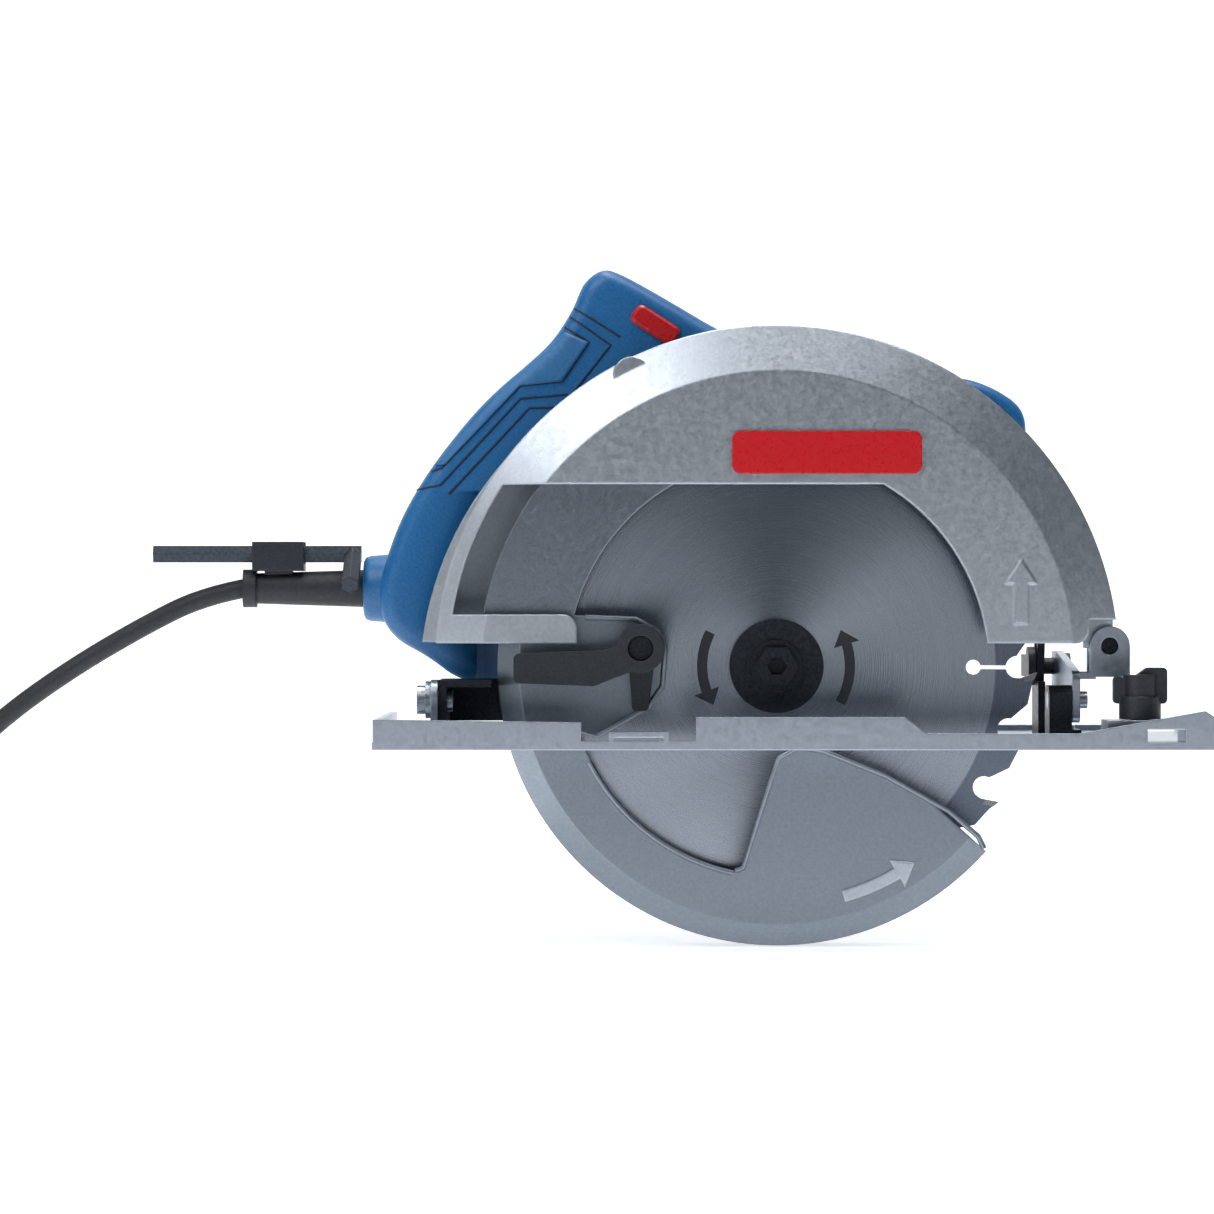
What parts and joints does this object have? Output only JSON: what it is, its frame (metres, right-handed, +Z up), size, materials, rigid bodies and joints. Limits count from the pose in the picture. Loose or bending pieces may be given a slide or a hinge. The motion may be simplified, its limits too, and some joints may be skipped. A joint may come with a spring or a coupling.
{
  "type": "circular saw",
  "caption": "Hand-held corded circular saw with a cast upper guard, swinging lower guard, tilting base plate, closed rear grip and front handle.",
  "frame": {"origin": "on the underside of the base plate, straight below the blade's axis and 25 mm to the motor side of the blade", "axes": "+X towards the front of the saw, +Y from the blade to the motor, +Z up from the work"},
  "size_m": [0.6179, 0.2, 0.2387],
  "materials": {
    "zinc_sheet": "zinc-plated, satin",
    "black_metal": "blackened steel",
    "fastener": "zinc-plated",
    "black_plastic": "fine moulded texture",
    "cast_guard": "fine cast, lightly blasted",
    "cast_guard_dark": "fine cast, lightly blasted",
    "red_plastic": "smooth",
    "blue_plastic": "fine moulded texture",
    "iron": "dull",
    "bearing_steel": "ground",
    "black_rubber": "matt",
    "blade_steel": "ground in circles",
    "carbide": "ground",
    "copper": "polished",
    "key_steel": "blackened"
  },
  "bodies": {
    "base": {"base_plate": "zinc_sheet", "front_quadrant": "black_metal", "pivot_block": "black_metal", "rear_bracket": "zinc_sheet", "front_pin": "fastener", "rear_pin": "fastener", "guide_saddle": "zinc_sheet", "base_rivets": "fastener"},
    "guide_screw_body": {"guide_screw": "black_plastic"},
    "tilt_frame": {"front_tilt_bracket": "zinc_sheet", "rear_tilt_bracket": "black_metal", "depth_arc": "zinc_sheet"},
    "tilt_knob_body": {"tilt_knob": "black_plastic"},
    "head": {"upper_guard": "cast_guard", "accent_bar": "red_plastic", "gear_case": "cast_guard", "guard_ring": "fastener", "motor_housing": "blue_plastic", "motor_end_cap": "black_plastic", "brush_caps": "black_plastic", "stator": "iron", "bearing_outers": "bearing_steel", "handle_near": "blue_plastic", "handle_far": "blue_plastic", "front_knob": "blue_plastic", "knob_stem": "cast_guard", "cord_boot": "black_rubber", "key_clip": "black_plastic", "depth_bolt": "fastener", "pivot_pin": "black_metal", "guard_screws": "fastener", "handle_screws": "fastener", "cord_run": "black_rubber", "cord_coil": "black_rubber", "plug": "black_plastic"},
    "depth_lever_body": {"depth_lever": "black_plastic"},
    "spindle_body": {"blade": "blade_steel", "carbide_tips": "carbide", "outer_flange": "black_metal", "inner_flange": "black_metal", "blade_bolt": "black_metal", "spindle": "bearing_steel", "spindle_gear": "bearing_steel", "bearing_inners": "bearing_steel"},
    "armature": {"armature_shaft": "bearing_steel", "rotor": "iron", "commutator": "copper", "fan": "black_plastic", "motor_bearing_inners": "bearing_steel"},
    "guard_body": {"lower_guard": "cast_guard_dark", "guard_lever": "black_plastic", "lever_screw": "black_metal"},
    "trigger_body": {"trigger": "black_plastic"},
    "lock_button_body": {"lock_button": "red_plastic"},
    "spindle_lock_body": {"spindle_lock": "black_plastic"},
    "hex_key_body": {"hex_key": "key_steel"}
  },
  "joints": [
    {"name": "tilt", "type": "hinge", "parent": "base", "child": "tilt_frame", "pos_m": [0, -0.033, 0.0164], "axis": [1, 0, 0], "range_deg": [0, 45]},
    {"name": "tilt_clamp", "type": "hinge", "parent": "tilt_frame", "child": "tilt_knob_body", "pos_m": [0.1, 0.028, 0.0275], "axis": [1, 0, 0], "range_deg": [0, 60]},
    {"name": "guide_clamp", "type": "hinge", "parent": "base", "child": "guide_screw_body", "pos_m": [0.1243, -0.058, 0.015], "axis": [0, 0, 1], "continuous": true},
    {"name": "depth", "type": "hinge", "parent": "tilt_frame", "child": "head", "pos_m": [0.1169, -0.025, 0.0352], "axis": [0, 1, 0], "range_deg": [0, 32]},
    {"name": "depth_clamp", "type": "hinge", "parent": "head", "child": "depth_lever_body", "pos_m": [-0.055, 0, 0.0412], "axis": [0, 1, 0], "range_deg": [0, 40]},
    {"name": "spindle_turn", "type": "hinge", "parent": "head", "child": "spindle_body", "pos_m": [0, -0.025, 0.0282], "axis": [0, 1, 0], "continuous": true},
    {"name": "motor_turn", "type": "hinge", "parent": "head", "child": "armature", "pos_m": [-0.0112, 0, 0.05222], "axis": [0, 1, 0], "continuous": true},
    {"name": "guard_swing", "type": "hinge", "parent": "head", "child": "guard_body", "pos_m": [0, -0.025, 0.0282], "axis": [0, 1, 0], "range_deg": [0, 112], "stiffness_Nm_per_rad": 0.15, "springref_deg": -57.3},
    {"name": "trigger_press", "type": "hinge", "parent": "head", "child": "trigger_body", "pos_m": [-0.057, 0.017, 0.121], "axis": [0, 1, 0], "range_deg": [0, 7], "stiffness_Nm_per_rad": 1, "springref_deg": -5.73},
    {"name": "lock_press", "type": "slide", "parent": "head", "child": "lock_button_body", "axis": [0, 1, 0], "range_m": [0, 0.0028], "stiffness_N_per_m": 400, "springref_m": -0.002},
    {"name": "spindle_lock_press", "type": "slide", "parent": "head", "child": "spindle_lock_body", "axis": [-1, 0, 0], "range_m": [0, 0.002], "stiffness_N_per_m": 400, "springref_m": -0.002},
    {"name": "key_lift", "type": "slide", "parent": "head", "child": "hex_key_body", "axis": [0, 0, 1], "range_m": [0, 0.012]}
  ],
  "couplings": [
    {"joint": "motor_turn", "follows": "spindle_turn", "ratio": -3.8182}
  ]
}
